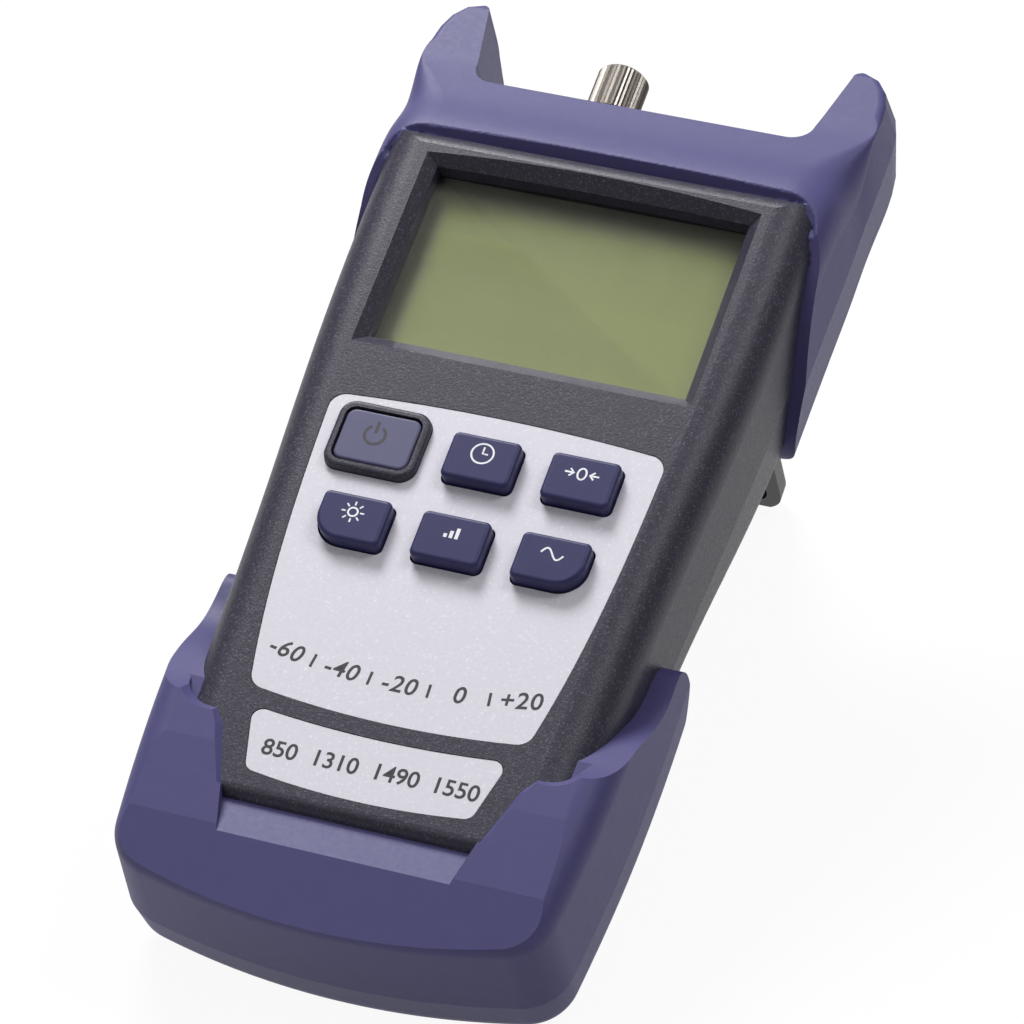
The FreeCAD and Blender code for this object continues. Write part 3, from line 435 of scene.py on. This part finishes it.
POWER_R, POWER_GAP = 1.75, 32  # the broken circle: radius, and half its gap in degrees
POWER_STEM = (0.4, 2.5)  # lower and upper end of the stem
POWER_STROKE = 0.5
CLOCK_R = 1.85
CLOCK_HANDS = ((0.02, 1.25), (0.0, 0.0), (0.95, -0.05))
ZERO_HALF = (0.72, 1.05)  # half width and half height of the zero
ARROW_TIP, ARROW_TAIL = 1.35, 2.9
ARROW_BARB = (0.75, 0.7)
SHAFT_GAP = 0.15  # the shaft ends this far behind the tip
SUN_R = 0.8
SUN_RAYS, SUN_RAY_SPAN, SUN_RAY_STROKE = 8, (1.25, 1.95), 0.28
BAR_HEIGHTS = (0.7, 1.35, 2.0)
BAR_WIDTH, BAR_PITCH = 0.6, 0.95
BARS_LEFT, BARS_FOOT = 1.25, 1.0  # how far the bars begin left of and below the centre
WAVE_HALF, WAVE_RISE, WAVE_STEPS = 1.9, 0.95, 28


def power_sign(x, y):
    circle = arc((x, y), POWER_R, 90 + POWER_GAP, 450 - POWER_GAP)
    stem = [(x, y + end) for end in POWER_STEM]
    return [ribbon(circle, POWER_STROKE), ribbon(stem, POWER_STROKE)]


def clock_sign(x, y):
    hands = [(x + across, y + up) for across, up in CLOCK_HANDS]
    return [ribbon(ring((x, y), CLOCK_R), STROKE, True), ribbon(hands, STROKE)]


def zero_sign(x, y):
    turns = [2 * math.pi * i / CURVE_STEPS for i in range(CURVE_STEPS)]
    zero = [(x + ZERO_HALF[0] * math.cos(a), y + ZERO_HALF[1] * math.sin(a)) for a in turns]
    shapes = [ribbon(zero, STROKE, True)]
    for side in (-1, 1):
        tip = x + side * ARROW_TIP
        tail = x + side * ARROW_TAIL
        barb = tip + side * ARROW_BARB[0]
        head = [(barb, y + ARROW_BARB[1]), (tip, y), (barb, y - ARROW_BARB[1])]
        shapes.append(ribbon([(tail, y), (tip + side * SHAFT_GAP, y)], STROKE))
        shapes.append(ribbon(head, STROKE))
    return shapes


def lamp_sign(x, y):
    shapes = [ribbon(ring((x, y), SUN_R), STROKE, True)]
    for i in range(SUN_RAYS):
        a = 2 * math.pi / SUN_RAYS * i
        ray = [(x + r * math.cos(a), y + r * math.sin(a)) for r in SUN_RAY_SPAN]
        shapes.append(ribbon(ray, SUN_RAY_STROKE))
    return shapes


def level_sign(x, y):
    shapes = []
    foot = y - BARS_FOOT
    for i, height in enumerate(BAR_HEIGHTS):
        middle = x - BARS_LEFT + BAR_PITCH * i + BAR_WIDTH / 2
        shapes.append(ribbon([(middle, foot), (middle, foot + height)], BAR_WIDTH))
    return shapes


def wave_sign(x, y):
    wave = [(x - WAVE_HALF + 2 * WAVE_HALF * i / WAVE_STEPS,
             y + WAVE_RISE * math.sin(2 * math.pi * i / WAVE_STEPS))
            for i in range(WAVE_STEPS + 1)]
    return [ribbon(wave, STROKE)]


KEY_SIGNS = {  # each blue key's centre and sign
    "key_auto_off": ((0.0, -20.4), clock_sign),
    "key_zero": ((17.0, -20.4), zero_sign),
    "key_light": ((-17.0, -35.7), lamp_sign),
    "key_db": ((0.0, -35.7), level_sign),
    "key_wavelength": ((17.0, -35.7), wave_sign),
}


def key_legends(white, dark):
    """A sign on each key, moving with it."""
    lay_print("sign_power", power_sign(*POWER_CENTRE), POWER_TOP, "key_power", dark)
    for key, ((x, y), sign) in KEY_SIGNS.items():
        name = "sign_" + key.removeprefix("key_")
        lay_print(name, sign(x, y + LEGEND_RISE), KEY_TOP, key, white)


# ---------------------------------------------------------------- print on the films, and painted shade round the window
LABEL_FACE = -0.1  # the film's surface
SCALE_CENTRE = (0.0, 50.0)  # centre of the printed scale's arc
SCALE_R = 112.0
SCALE_STEP = 5.1  # degrees between numbers
SCALE_NUMBERS = ("-60", "-40", "-20", "0", "+20")
SCALE_HEIGHT, SCALE_SHEAR, SCALE_SPACING = 2.9, 0.12, 1.1
TICK_HALF, TICK_STROKE = 1.2, 0.45
BANDS = (("850", -14.6), ("1310", -5.3), ("1490", 4.9), ("1550", 14.9))  # number and its place
BAND_HEIGHT, BAND_Y = 2.8, -77.6
LENS_FACE = -4.6  # front of the display window
BORDER_OUT = (-28.6, 28.6, -0.5, 36.7)  # left, right, lower and upper side of the border
BORDER_IN = (-27.9, 27.9, 0.1, 35.9)


def scale_angle(steps):
    """Direction of a place on the scale, so many steps right of its middle."""
    return math.radians(-90 + SCALE_STEP * steps)


def scale_point(angle, radius):
    return (SCALE_CENTRE[0] + radius * math.cos(angle), SCALE_CENTRE[1] + radius * math.sin(angle))


def label_scale(dark):
    """A curved row of numbers with ticks on the upper film."""
    middle = (len(SCALE_NUMBERS) - 1) / 2
    shapes = []
    for i, text in enumerate(SCALE_NUMBERS):
        a = scale_angle(i - middle)
        shapes.append(lettering(text, SCALE_HEIGHT, scale_point(a, SCALE_R), a + math.pi / 2,
                                SCALE_SHEAR, SCALE_SPACING))
    for i in range(len(SCALE_NUMBERS) - 1):
        a = scale_angle(i + 0.5 - middle)
        ends = [scale_point(a, r) for r in (SCALE_R - TICK_HALF, SCALE_R + TICK_HALF)]
        shapes.append(ribbon(ends, TICK_STROKE))
    lay_print("label_scale", shapes, LABEL_FACE, "meter", dark)


def label_bands(dark):
    """Four wavelengths in nanometres on the lower film."""
    shapes = [lettering(text, BAND_HEIGHT, (x, BAND_Y)) for text, x in BANDS]
    lay_print("label_bands", shapes, LABEL_FACE, "meter", dark)


def window_shade_border(black):
    """Black border round the clear part of the display window: partly the display's dark frame,
    partly painted shade of the gap under the window.
    """
    corners = [(x, y) for left, right, low, high in (BORDER_OUT, BORDER_IN)
               for x, y in ((left, low), (right, low), (right, high), (left, high))]
    sides = [(i, (i + 1) % 4, 4 + (i + 1) % 4, 4 + i) for i in range(4)]
    lay_print("window_shade_border", [(corners, sides)], LENS_FACE, "meter", black)


# ---------------------------------------------------------------- lip of the top guard, mm
LIP_HALF, LIP_TOP = 38.2, 42.1  # the guard's opening round the face: half width and upper end
LIP_CROWN = 1.3  # how far the opening's upper end bows
LIP_CORNER = 5.5
LIP_FOOT_Z, LIP_CREST_Z = -3.6, -1.2  # the sloped band round the opening falls towards the face
LIP_BAND = 2.2
LIP_ROLL = 0.4  # slope of the guard beyond the crest
LIP_FADE = (31.0, 37.0)  # the band rises out of the flanks between these heights
LIP_LOWEST = -6  # nothing deeper than this takes part
LIP_MARGIN = 2  # how far beyond the crest the mesh is refined
LIP_MESH = 0.6  # edge length near the lip
LIP_PASSES = 8  # most rounds of halving edges
LIP_WELD = 0.02  # edges shorter than this close up
LIP_CREASE = math.radians(30)
PROBE_FROM, PROBE_LENGTH = 20, 28  # a ray that finds the housing below a point of the guard
HOUSING_NEAR = 0.1  # a point this little inside the housing counts as on it
LIP_OVER = 0.05  # how far over the housing the guard stays outside its opening
LIP_UNDER = 0.3  # how far under the housing it sinks within its opening


def lip_distance(x, y):
    """How far a point lies outside the guard's opening."""
    bow = LIP_CROWN * (x / LIP_HALF) ** 2
    across = abs(x) - (LIP_HALF - LIP_CORNER)
    up = y + bow - (LIP_TOP - LIP_CORNER)
    return math.hypot(max(across, 0), max(up, 0)) + min(max(across, up), 0) - LIP_CORNER


def lip_height(distance):
    """Highest place of the guard at a distance outside its opening."""
    rise = (LIP_CREST_Z - LIP_FOOT_Z) / LIP_BAND
    if distance < LIP_BAND:
        return LIP_FOOT_Z + rise * max(distance, 0)
    return LIP_CREST_Z + LIP_ROLL * (distance - LIP_BAND)


def by_the_lip(point):
    return (point.z > LIP_LOWEST and point.y > LIP_FADE[0]
            and lip_distance(point.x, point.y) < LIP_BAND + LIP_MARGIN)


def refine_by_the_lip(build):
    """Halve the edges near the lip until they are short enough to carry its form."""
    for _ in range(LIP_PASSES):
        long_edges = [e for e in build.edges if e.calc_length() > LIP_MESH
                      and any(by_the_lip(v.co) for v in e.verts)]
        if not long_edges:
            break
        bmesh.ops.subdivide_edges(build, edges=long_edges, cuts=1)
        bmesh.ops.triangulate(build, faces=[f for f in build.faces if len(f.verts) > 3])


def lipped_height(point, housing):
    """Height that the lip's form gives a point of the guard, kept clear of the housing."""
    distance = lip_distance(point.x, point.y)
    share = min(max((point.y - LIP_FADE[0]) / (LIP_FADE[1] - LIP_FADE[0]), 0), 1)
    low = min(point.z, lip_height(distance))
    height = point.z + share * (low - point.z)
    above = Vector((point.x, point.y, PROBE_FROM))
    hit = housing.ray_cast(above, Vector((0, 0, -1)), PROBE_LENGTH)[0]
    if hit and height < hit.z and point.z > hit.z - HOUSING_NEAR:
        height = hit.z + LIP_OVER if distance > 0 else hit.z - LIP_UNDER
    return height


def guard_with_lip(finish):
    """Front guard moulding with the sloped lip round the face's opening."""
    source = frame["nodes"]["top_guard_front"]
    shell = frame["nodes"]["front_shell"]
    shell_points = [meter_point(shell.matrix_world @ v.co) for v in shell.data.vertices]
    shell_faces = [list(p.vertices) for p in shell.data.polygons]
    housing = BVHTree.FromPolygons(shell_points, shell_faces)
    build = bmesh.new()
    build.from_mesh(source.data)
    for vert in build.verts:
        vert.co = meter_point(source.matrix_world @ vert.co)
    refine_by_the_lip(build)
    for vert in build.verts:
        if by_the_lip(vert.co):
            vert.co.z = lipped_height(vert.co, housing)
    bmesh.ops.dissolve_degenerate(build, dist=LIP_WELD, edges=build.edges)
    for vert in build.verts:
        vert.co = place(*vert.co)
    mesh = bpy.data.meshes.new("guard_front")
    build.to_mesh(mesh)
    build.free()
    mesh.materials.append(finish)
    mesh.shade_smooth()
    mesh.set_sharp_from_angle(angle=LIP_CREASE)
    piece = add_object("guard_front", mesh)
    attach(piece, "meter")
    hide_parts("top_guard_front")


# ---------------------------------------------------------------- finishes on the CAD nodes
def dress():
    sparkle = sparkle_plastic()
    guard = guard_plastic()
    guard_with_lip(guard)
    film = silver_film()
    blue_key = rubber_key("key_blue_satin", KEY_BLUE, rough=0.40)
    steel = metal("steel_plated", STEEL, rough=0.32)
    cell = plain_plastic("cell_sleeve", CELL_BLUE, rough=0.35, grain=0.6, depth=0.004)
    sleeve = plain_plastic("sleeve_zirconia", ZIRCONIA, rough=0.2, grain=0.5, depth=0.001)
    stand = plain_plastic("stand_nylon", STAND_BLACK, rough=0.42, grain=0.4, depth=0.012)
    finishes = {
        "front_shell": sparkle,
        "back_shell": sparkle,
        "battery_door": sparkle,
        "top_guard_back": guard,
        "boot_front": guard,
        "boot_back": guard,
        "label_upper": film,
        "label_lower": film,
        "display_lens": clear_window(),
        "lcd_panel": lcd_film(),
        "lcd_frame": plain_plastic("frame_moulded", FRAME_BLACK),
        "key_power": rubber_key("key_grey_satin", KEY_GREY, rough=0.45),
        "keypad_mat": plain_plastic("mat_silicone", SILICONE, rough=0.6),
        "switch_domes": metal("dome_steel", SPRING_STEEL, rough=0.25),
        "main_board": circuit_board(),
        "processor": plain_plastic("chip_resin", CHIP_BLACK, rough=0.55),
        "port_receptacle": metal("receptacle_nickel", NICKEL, rough=0.26),
        "ferrule_sleeve": sleeve,
        "detector": metal("detector_can", NICKEL, rough=0.3),
        "dust_cap": metal("cap_nickel", NICKEL_DARKER, rough=0.34),
        "kickstand": stand,
        "stand_pin": steel,
        "board_screws": steel,
        "port_screws": steel,
        "case_screws": steel,
        "battery_contacts": steel,
        "battery_1": cell,
        "battery_2": cell,
        "battery_3": cell,
        **dict.fromkeys(KEY_SIGNS, blue_key),
    }
    for node, finish in finishes.items():
        frame["nodes"][node].data.materials.clear()
        frame["nodes"][node].data.materials.append(finish)


# ---------------------------------------------------------------- floor, light and camera, m
FLOOR_HALF = 2.5
FLOOR_GLOW = 0.93  # how far the floor is plain white to the camera; the rest keeps the shadow
WORLD_STRENGTH = 0.22
LAMP_AIM = Vector((0, 0, 0.05))
LAMPS = (  # name, place, size, watts
    ("overhead", (-0.50, 0.55, 1.0), (0.5, 0.4), 15.5),
    ("overhead_right", (0.50, 0.16, 0.95), (0.22, 0.4), 3.0),
    ("front_left", (-0.45, -0.7, 1.0), (0.4, 0.4), 1.6),
)
CAMERA_AT = place(238.88, -395.88, 671.17)
CAMERA_LOOK = place(2.97, -20.51, -12.69)  # a point on the camera's axis
CAMERA_ROLL = math.radians(-0.29)
LENS, SENSOR = 175.8, 36  # mm


def floor():
    """A white floor that keeps a soft shadow and is white to the camera."""
    f = Finish("floor_white", Roughness=0.9)
    path = f.add("ShaderNodeLightPath").outputs
    white = f.mix(f.noise(size=40.0, detail=3.0), *FLOOR_WHITES)
    f.colour(f.mix(path["Is Diffuse Ray"], white, FLOOR_BOUNCE))
    seen = f.combine("MAXIMUM", path["Is Camera Ray"], path["Is Transmission Ray"])
    seen = f.combine("MAXIMUM", seen, path["Is Glossy Ray"])
    glow = f.add("ShaderNodeEmission").outputs["Emission"]
    f.blend_into(f.combine("MULTIPLY", seen, FLOOR_GLOW), glow)
    corners = [(x * FLOOR_HALF, y * FLOOR_HALF, 0) for x, y in ((-1, -1), (1, -1), (1, 1), (-1, 1))]
    mesh = bpy.data.meshes.new("floor")
    mesh.from_pydata(corners, [], [(0, 1, 2, 3)])
    mesh.materials.append(f.material)
    plane = add_object("floor", mesh)


def studio():
    world = bpy.data.worlds.new("studio")
    world.use_nodes = True
    background = world.node_tree.nodes["Background"]
    background.inputs["Color"].default_value = (1.0, 1.0, 1.0, 1)
    background.inputs["Strength"].default_value = WORLD_STRENGTH
    bpy.context.scene.world = world
    for name, spot, size, power in LAMPS:
        lamp = bpy.data.lights.new(name, "AREA")
        lamp.shape = "RECTANGLE"
        lamp.size, lamp.size_y = size
        lamp.energy = power
        holder = add_object(name, lamp)
        holder.location = spot
        holder.rotation_euler = (LAMP_AIM - Vector(spot)).to_track_quat("-Z", "Y").to_euler()


def camera():
    eye = bpy.data.cameras.new("camera")
    eye.lens = LENS
    eye.sensor_width = SENSOR
    holder = add_object("camera", eye)
    level = (CAMERA_LOOK - CAMERA_AT).to_track_quat("-Z", "Y").to_matrix()
    holder.rotation_euler = (level @ Matrix.Rotation(-CAMERA_ROLL, 3, "Z")).to_euler()
    holder.location = CAMERA_AT
    bpy.context.scene.camera = holder


def main():
    dress()
    dark = print_ink("print_dark", LEGEND_DARK)
    key_legends(print_ink("print_white", LEGEND_WHITE), dark)
    label_scale(dark)
    label_bands(dark)
    # black border on the window: painted shade of the gap under it, together with the display's
    # dark frame
    window_shade_border(print_ink("gap_shade_black", FRAME_BLACK, rough=0.45))
    floor()
    studio()
    camera()
    bpy.context.scene.view_settings.view_transform = "Standard"


main()
